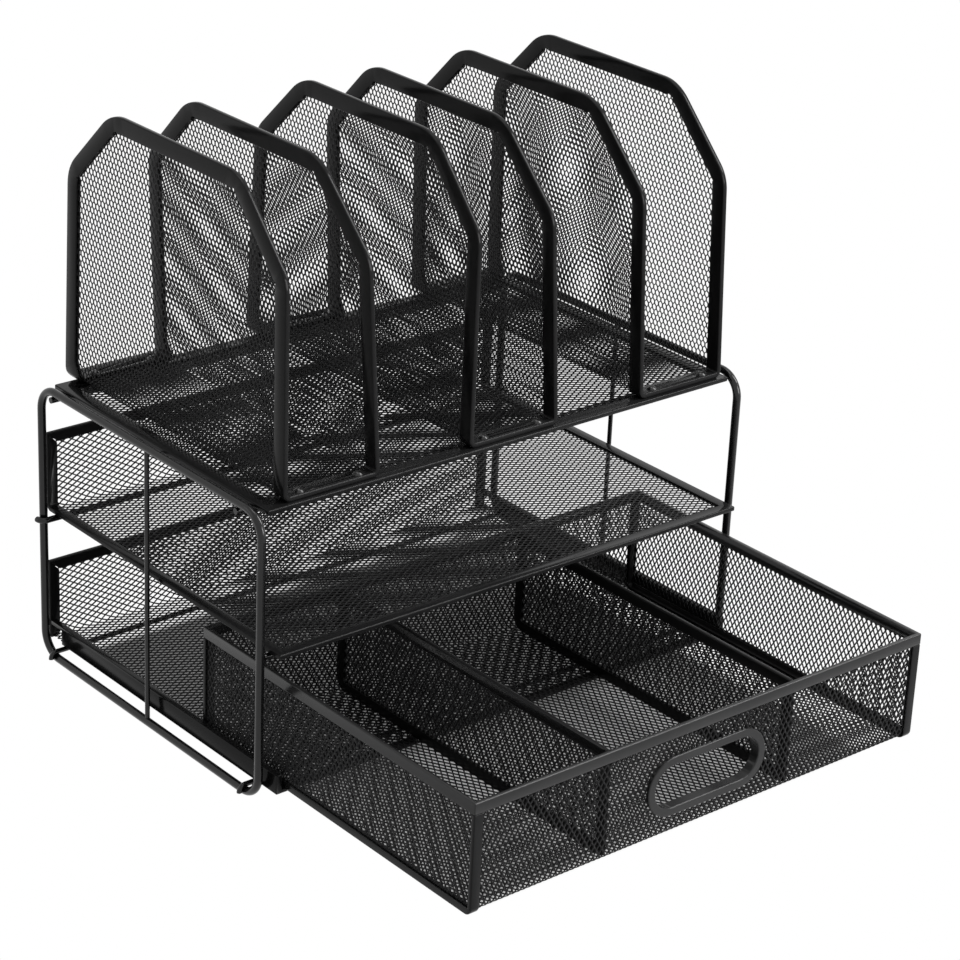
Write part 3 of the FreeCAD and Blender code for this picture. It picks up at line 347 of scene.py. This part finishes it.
# Deck panel: the long way of the holes runs across the width
deck = {"x": (-162.55, 162.55), "y": (-101.6, 100.0), "z": 168.7}
wovenNode("deck_mesh", deck["x"], deck["y"],
          flatPlace(2, deck["z"], 0, 1), insideBox(deck["x"], deck["y"]))

# Sorter units: one sheet each, bent up at both sides, the walls leaning a little
units = {
    "width": 60.6,       # between a unit's two walls at the foot
    "pitch": 124.8,      # unit to unit
    "shift": 4.2,        # of the middle unit to the right
    "foot": 171.6,       # level of the sheet's flat bottom
    "height": 164.5,     # of a unit over the deck
    "bend": 3.0,         # radius where a wall rises
    "web": 1.5,          # closed edge of the folded strip, where the sheet ends
    # How far the tops of the left and the right wall lie to the right, as shares of the width
    "leans": ((0.100, -0.073), (0.140, -0.064), (-0.023, 0.0)),
    # Wall seen from the side: its ends at the foot and at the knees, and its cut corners
    "frontFoot": 100.6, "rearFoot": 108.8, "frontKnee": 93.3, "rearKnee": 110.5,
    "frontCut": 44.5, "rearCut": 41.2,
    "footBend": 7.3,     # slanted lower rear corner, its height
    "footShare": 0.6,    # and its length as a share of that
    "deckTop": 170.1,
    "bottomRear": 100.0,
    "bendRoom": 1.0,     # above the bend, where the wall's outline takes over
}


# Corners of a unit's wall seen from the side, from its front foot round to its front knee
def unitCorners():
    u = units
    top = u["deckTop"] + u["height"]
    return [
        (-u["frontFoot"], u["deckTop"]),
        (u["rearFoot"] - u["footBend"] * u["footShare"], u["deckTop"]),
        (u["rearFoot"], u["deckTop"] + u["footBend"]),
        (u["rearKnee"], top - u["rearCut"]),
        (u["rearKnee"] - u["rearCut"], top),
        (-u["frontKnee"] + u["frontCut"], top),
        (-u["frontKnee"], top - u["frontCut"]),
    ]


# Which points lie inside the wall's outline, clear of the closed edge of its strip
def unitOutline(y, z):
    u = units
    corners = unitCorners()
    good = np.ones(len(y), bool)
    for i in range(len(corners)):
        (ay, az), (by, bz) = corners[i], corners[(i + 1) % len(corners)]
        length = math.hypot(by - ay, bz - az)
        away = ((by - ay) * (z - az) - (bz - az) * (y - ay)) / length
        good &= away >= u["web"]
    return good


def buildUnit(number, middle, leans):
    u = units
    top = u["foot"] + u["height"]
    line, length = bentLine([
        (middle - u["width"] / 2 + leans[0] * u["width"], top),
        (middle - u["width"] / 2, u["foot"]),
        (middle + u["width"] / 2, u["foot"]),
        (middle + u["width"] / 2 + leans[1] * u["width"], top),
    ], u["bend"])

    def place(long, short):
        spot, normal = line(long)
        points = np.stack([spot[:, 0], short, spot[:, 1]], 1)
        normals = np.stack([normal[:, 0], np.zeros(len(short)), normal[:, 1]], 1)
        return points, -normals

    def keep(long, short):
        spot, normal = line(long)
        low = spot[:, 1] < u["deckTop"] + u["bend"] + u["bendRoom"]
        bottom = low & (short > -u["frontFoot"] + u["web"]) & (short < u["bottomRear"])
        return np.where(low, bottom, unitOutline(short, spot[:, 1]))

    reach = (-u["frontFoot"], u["rearKnee"])
    wovenNode("sorter_mesh_%d" % number, (0, length), reach, place, keep,
              halves=2, weave=weaves["walls"])


for number, leans in enumerate(units["leans"]):
    buildUnit(number + 1, units["shift"] + (number - 1) * units["pitch"], leans)
print("sorter units woven")

# Trays: each sheet is bent up behind the rear uprights
trayShape = {"half": 163.5, "back": 109.65, "bend": 3.0}
trays = {
    "middle_tray_mesh": {"front": -115.1, "floor": 90.8, "top": 136.4},
    "bottom_tray_mesh": {"front": -113.8, "floor": 8.8, "top": 55.7},
}


def buildTray(node, tray):
    back = trayShape["back"]
    line, length = bentLine([
        (tray["front"], tray["floor"]),
        (back, tray["floor"]),
        (back, tray["top"]),
    ], trayShape["bend"])

    def place(long, short):
        spot, normal = line(short)
        points = np.stack([long, spot[:, 0], spot[:, 1]], 1)
        normals = np.stack([np.zeros(len(long)), normal[:, 0], normal[:, 1]], 1)
        return points, -normals

    span = (-trayShape["half"], trayShape["half"])
    wovenNode(node, span, (0, length), place, insideBox(span, (0, length)), halves=2)


for node, tray in trays.items():
    buildTray(node, tray)
print("trays woven")

# Drawer: one sheet makes the front, floor and rear, and each side has its own flat sheet
drawer = {
    "half": 160.0,       # half its width outside
    "front": -272.4, "rear": -39.2, "low": 10.1, "top": 75.7,
    "thick": 2.6,        # of the folded strips, with the sheet in their middle
    "footBend": 5.0,     # outer radius at the foot
    "rimWeb": 1.2,       # closed edges of the rim and of the side strips
    "web": 1.5,
    "handleHalf": (38.4, 13.9),  # finger opening, half its width and height
    "handleUp": 30.6,    # its middle above the foot
}


def buildDrawer():
    d = drawer
    half = d["thick"] / 2
    heldTop = d["top"] - d["rimWeb"]
    line, length = bentLine([
        (d["front"] + half, heldTop),
        (d["front"] + half, d["low"] + half),
        (d["rear"] - half, d["low"] + half),
        (d["rear"] - half, heldTop),
    ], d["footBend"] - half)

    def place(long, short):
        spot, normal = line(long)
        points = np.stack([short, spot[:, 0], spot[:, 1]], 1)
        normals = np.stack([np.zeros(len(short)), normal[:, 0], normal[:, 1]], 1)
        return points, normals

    span = (-(d["half"] - d["thick"]), d["half"] - d["thick"])
    wide, high = d["handleHalf"]

    def keep(long, short):
        spot, normal = line(long)
        across = np.maximum(np.abs(short) - (wide - high), 0)
        up = spot[:, 1] - d["low"] - d["handleUp"]
        hole = (np.hypot(across, up) < high) & (spot[:, 0] < d["front"] + d["thick"])
        return insideBox((0, length), span)(long, short) & ~hole

    wovenNode("drawer_wrap_mesh", (0, length), span, place, keep, halves=2)
    sideY = (d["front"] + d["web"], d["rear"] - d["web"])
    sideZ = (d["low"] + d["web"], heldTop)
    for name, x in (("left", -(d["half"] - half)), ("right", d["half"] - half)):
        wovenNode("drawer_%s_wall_mesh" % name, sideZ, sideY,
                  flatPlace(0, x, 2, 1), insideBox(sideZ, sideY))


buildDrawer()

# Dividers: flat sheets that stand lengthwise in the drawer
dividers = {"left": -68.5, "right": 63.3, "y": (-268.3, -43.3), "z": (13.3, 73.0)}
for name in ("left", "right"):
    wovenNode("drawer_%s_divider_mesh" % name, dividers["z"], dividers["y"],
              flatPlace(0, dividers[name], 2, 1), insideBox(dividers["z"], dividers["y"]))
print("drawer woven")

# Folded strips: the solid's own shape with its outer edges rounded over, as bent sheet is.
# The strips of the sorter units are also drawn a little wider than in the solid.
stripEdge = {
    "round": 0.7,       # radius of the rounded edges
    "share": 0.42,      # of a narrow face, the most that one edge takes
    "steps": 3,
    "leastTurn": 35,    # degrees between two faces, from which their edge is rounded
    "flat": 0.4,        # degrees within which faces are joined
    "merge": 0.002,     # points nearer than this become one
    "solidWidth": 8.0,  # unit strip in the solid
    "wider": 1.6,       # added to it here
    "edgeWithin": 0.7,  # how near to that width a point of the inner edge lies
}
unitStrips = ["sorter_strip_1", "sorter_strip_2", "sorter_strip_3"]
stripNodes = unitStrips + [
    "deck_frame", "middle_tray_strip", "bottom_tray_rim", "bottom_tray_back_frame",
    "drawer_rim", "drawer_left_side_strip", "drawer_right_side_strip",
    "drawer_left_divider_frame", "drawer_right_divider_frame",
]


# Moves the inner edge of a unit's strips away from its outline, seen from the side
def widenUnitStrip(shape):
    u = units
    lines = []
    corners = unitCorners()
    for i in range(1, len(corners)):
        lines.append((corners[i], corners[(i + 1) % len(corners)]))
    for vertex in shape.verts:
        y, z = vertex.co.y / mm, vertex.co.z / mm
        nearest = None
        for (ay, az), (by, bz) in lines:
            length = math.hypot(by - ay, bz - az)
            inward = ((az - bz) / length, (by - ay) / length)
            away = (y - ay) * inward[0] + (z - az) * inward[1]
            if nearest is None or away < nearest[0]:
                nearest = (away, inward)
        if z < u["deckTop"] + stripEdge["solidWidth"] / 2 and u["bottomRear"] - y < nearest[0]:
            nearest = (u["bottomRear"] - y, (-1.0, 0.0))
        away, inward = nearest
        if abs(away - stripEdge["solidWidth"]) < stripEdge["edgeWithin"]:
            vertex.co.y += inward[0] * stripEdge["wider"] * mm
            vertex.co.z += inward[1] * stripEdge["wider"] * mm


# How far a face reaches away from one of its edges
def reachFrom(edge, face):
    start = edge.verts[0].co
    along = (edge.verts[1].co - start).normalized()
    offsets = [vertex.co - start for vertex in face.verts]
    return max((offset - along * offset.dot(along)).length for offset in offsets)


def roundStrip(node):
    mesh = frame["nodes"][node].data.copy()
    mesh.name = node + "_rounded"
    shape = bmesh.new()
    shape.from_mesh(mesh)
    bmesh.ops.remove_doubles(shape, verts=shape.verts, dist=stripEdge["merge"] * mm)
    joined = math.radians(stripEdge["flat"])
    bmesh.ops.dissolve_limit(shape, angle_limit=joined, verts=shape.verts, edges=shape.edges)
    if node in unitStrips:
        widenUnitStrip(shape)
    shape.normal_update()
    weights = shape.edges.layers.float.new("bevel_weight_edge")
    leastTurn = math.radians(stripEdge["leastTurn"])
    for edge in shape.edges:
        if len(edge.link_faces) == 2 and edge.calc_face_angle_signed() > leastTurn:
            room = min(reachFrom(edge, face) for face in edge.link_faces) / mm
            edge[weights] = min(1.0, stripEdge["share"] * room / stripEdge["round"])
    if node != "deck_frame":  # its large faces round over cleanly whole
        bmesh.ops.triangulate(shape, faces=[face for face in shape.faces if len(face.verts) > 4])
    for face in shape.faces:
        face.smooth = True
    shape.to_mesh(mesh)
    shape.free()
    piece = bpy.data.objects.new(node + "_rounded", mesh)
    bpy.context.scene.collection.objects.link(piece)
    edgeRound = piece.modifiers.new("roundedEdges", "BEVEL")
    edgeRound.limit_method = "WEIGHT"
    edgeRound.width = stripEdge["round"] * mm
    edgeRound.segments = stripEdge["steps"]
    edgeRound.use_clamp_overlap = False
    edgeRound.harden_normals = True
    # The drawer rim gets the lighter, shinier copy of the coat, a painted highlight
    finishPiece(piece, node, bodyOf[node],
                coatedRimLitCopy if node in paintedHighlightNodes else coatedStrip)
    return piece


roundedStrips = {node: roundStrip(node) for node in stripNodes}
print("strips rounded")

# Camera at the photograph's viewpoint
view = {
    "place": (-1002.46, -1246.82, 828.80),
    "yaw": 40.62,
    "pitch": -24.20,
    "roll": 2.65,
    "focal": 3027.24,     # in picture points
    "pictureWide": 960,
    "sensorWide": 36,
    "farClip": 20,        # metres
}
yaw, pitch, roll = (math.radians(view[turn]) for turn in ("yaw", "pitch", "roll"))
forward = Vector((
    math.sin(yaw) * math.cos(pitch), math.cos(yaw) * math.cos(pitch), math.sin(pitch)))
right = Vector((math.cos(yaw), -math.sin(yaw), 0))
up = right.cross(forward)
rolledRight = right * math.cos(roll) + up * math.sin(roll)
rolledUp = -right * math.sin(roll) + up * math.cos(roll)
cameraData = bpy.data.cameras.new("camera")
cameraData.sensor_width = view["sensorWide"]
cameraData.lens = view["focal"] * view["sensorWide"] / view["pictureWide"]
cameraData.clip_end = view["farClip"]
camera = bpy.data.objects.new("camera", cameraData)
bpy.context.scene.collection.objects.link(camera)
turned = Matrix((rolledRight, rolledUp, -forward)).transposed().to_4x4()
camera.matrix_world = Matrix.Translation(Vector(view["place"]) * mm) @ turned
bpy.context.scene.camera = camera
print("camera placed")

# Studio: pale floor, white surroundings and soft lamps. The floor glows white all round,
# and under the object it shows its own tone and the object's shadow. Sizes in metres.
studio = {
    "floorReach": 6.0,
    "floorDrop": 0.0002,
    "floorTone": 0.82,
    "underFrame": ((-0.139, -0.1), (0.135, 0.09)),     # left front and right rear corner
    "underDrawer": ((-0.139, -0.249), (0.135, -0.05)),
    "fade": 0.008,
    "nearGlow": 0.12,    # how far the floor goes to plain white under the object, and elsewhere
    "farGlow": 1.0,
    "worldFill": 0.08,
    "whiteStrength": 1.0,
}
white = (1, 1, 1, 1)


# 1 for what the camera sees, straight, mirrored or through glass, and 0 for light on the object
def lightPathShare(tree):
    path = tree.nodes.new("ShaderNodeLightPath")
    seen = tree.nodes.new("ShaderNodeMath")
    seen.operation = "MAXIMUM"
    tree.links.new(path.outputs["Is Camera Ray"], seen.inputs[0])
    both = tree.nodes.new("ShaderNodeMath")
    both.operation = "MAXIMUM"
    tree.links.new(path.outputs["Is Glossy Ray"], both.inputs[0])
    tree.links.new(path.outputs["Is Transmission Ray"], both.inputs[1])
    tree.links.new(both.outputs["Value"], seen.inputs[1])
    return seen.outputs["Value"]


# Distance on the floor from a box that moves with the object it belongs to
def distanceFromBox(tree, box, carrier=None):
    (left, front), (right, rear) = box
    spot = tree.nodes.new("ShaderNodeTexCoord")
    spot.object = carrier
    step = spot.outputs["Object"]
    for operation, value in (("SUBTRACT", ((left + right) / 2, (front + rear) / 2, 0)),
                             ("MULTIPLY", (1, 1, 0)),
                             ("ABSOLUTE", None),
                             ("SUBTRACT", ((right - left) / 2, (rear - front) / 2, 0)),
                             ("MAXIMUM", (0, 0, 0))):
        vector = tree.nodes.new("ShaderNodeVectorMath")
        vector.operation = operation
        tree.links.new(step, vector.inputs[0])
        if value is not None:
            vector.inputs[1].default_value = value
        step = vector.outputs["Vector"]
    distance = tree.nodes.new("ShaderNodeVectorMath")
    distance.operation = "LENGTH"
    tree.links.new(step, distance.inputs[0])
    return distance.outputs["Value"]


def floorMaterial():
    material = bpy.data.materials.new("paleFloor")
    material.use_nodes = True
    tree = material.node_tree
    tree.nodes.clear()
    output = tree.nodes.new("ShaderNodeOutputMaterial")
    matte = tree.nodes.new("ShaderNodeBsdfDiffuse")
    matte.inputs["Color"].default_value = (*[studio["floorTone"]] * 3, 1)
    glow = tree.nodes.new("ShaderNodeEmission")
    glow.inputs["Color"].default_value = white
    glow.inputs["Strength"].default_value = studio["whiteStrength"]
    blend = tree.nodes.new("ShaderNodeMixShader")
    distance = tree.nodes.new("ShaderNodeMath")
    distance.operation = "MINIMUM"
    underFrame = distanceFromBox(tree, studio["underFrame"])
    underDrawer = distanceFromBox(tree, studio["underDrawer"], roundedStrips["drawer_rim"])
    tree.links.new(underFrame, distance.inputs[0])
    tree.links.new(underDrawer, distance.inputs[1])
    glowByPlace = tree.nodes.new("ShaderNodeMapRange")
    glowByPlace.interpolation_type = "SMOOTHSTEP"
    glowByPlace.inputs["From Max"].default_value = studio["fade"]
    glowByPlace.inputs["To Min"].default_value = studio["nearGlow"]
    glowByPlace.inputs["To Max"].default_value = studio["farGlow"]
    tree.links.new(distance.outputs["Value"], glowByPlace.inputs["Value"])
    share = tree.nodes.new("ShaderNodeMath")
    share.operation = "MULTIPLY"
    tree.links.new(lightPathShare(tree), share.inputs[0])
    tree.links.new(glowByPlace.outputs["Result"], share.inputs[1])
    tree.links.new(share.outputs["Value"], blend.inputs["Fac"])
    tree.links.new(matte.outputs["BSDF"], blend.inputs[1])
    tree.links.new(glow.outputs["Emission"], blend.inputs[2])
    tree.links.new(blend.outputs["Shader"], output.inputs["Surface"])
    return material


floorMesh = bpy.data.meshes.new("floor")
reach = studio["floorReach"]
floorCorners = [(-reach, -reach, 0), (reach, -reach, 0), (reach, reach, 0), (-reach, reach, 0)]
floorMesh.from_pydata(floorCorners, [], [(0, 1, 2, 3)])
floorMesh.materials.append(floorMaterial())
floor = bpy.data.objects.new("floor", floorMesh)
floor.location.z = -studio["floorDrop"]
bpy.context.scene.collection.objects.link(floor)

# World: a faint even fill on the object, and white where the camera sees it
world = bpy.data.worlds.new("studio")
bpy.context.scene.world = world
world.use_nodes = True
tree = world.node_tree
tree.nodes.clear()
output = tree.nodes.new("ShaderNodeOutputWorld")
blend = tree.nodes.new("ShaderNodeMixShader")
tree.links.new(lightPathShare(tree), blend.inputs["Fac"])
for place, strength in ((1, studio["worldFill"]), (2, studio["whiteStrength"])):
    background = tree.nodes.new("ShaderNodeBackground")
    background.inputs["Color"].default_value = white
    background.inputs["Strength"].default_value = strength
    tree.links.new(background.outputs["Background"], blend.inputs[place])
tree.links.new(blend.outputs["Shader"], output.inputs["Surface"])

lamps = {
    "keyLamp": {"at": (1.31, -0.95, 1.64), "aim": (0, -0.1, 0.1), "size": (0.5, 1.2), "watts": 27},
    "topLamp": {"at": (0.1, 0.1, 1.9), "aim": (0, -0.05, 0.1), "size": (0.9, 0.9), "watts": 7},
    "frontLamp": {"at": (0.9, -2.0, 0.7), "aim": (0, -0.1, 0.1), "size": (0.9, 0.9), "watts": 22},
    "leftLamp": {"at": (-1.9, 0.9, 0.9), "aim": (0, -0.05, 0.2), "size": (1.1, 1.1), "watts": 2.5},
}
for name, lamp in lamps.items():
    lightData = bpy.data.lights.new(name, "AREA")
    lightData.shape = "RECTANGLE"
    lightData.size, lightData.size_y = lamp["size"]
    lightData.energy = lamp["watts"]
    light = bpy.data.objects.new(name, lightData)
    bpy.context.scene.collection.objects.link(light)
    light.location = lamp["at"]
    towards = Vector(lamp["aim"]) - Vector(lamp["at"])
    light.rotation_euler = towards.to_track_quat("-Z", "Y").to_euler()

bpy.context.scene.view_settings.view_transform = "Standard"
print("studio set")
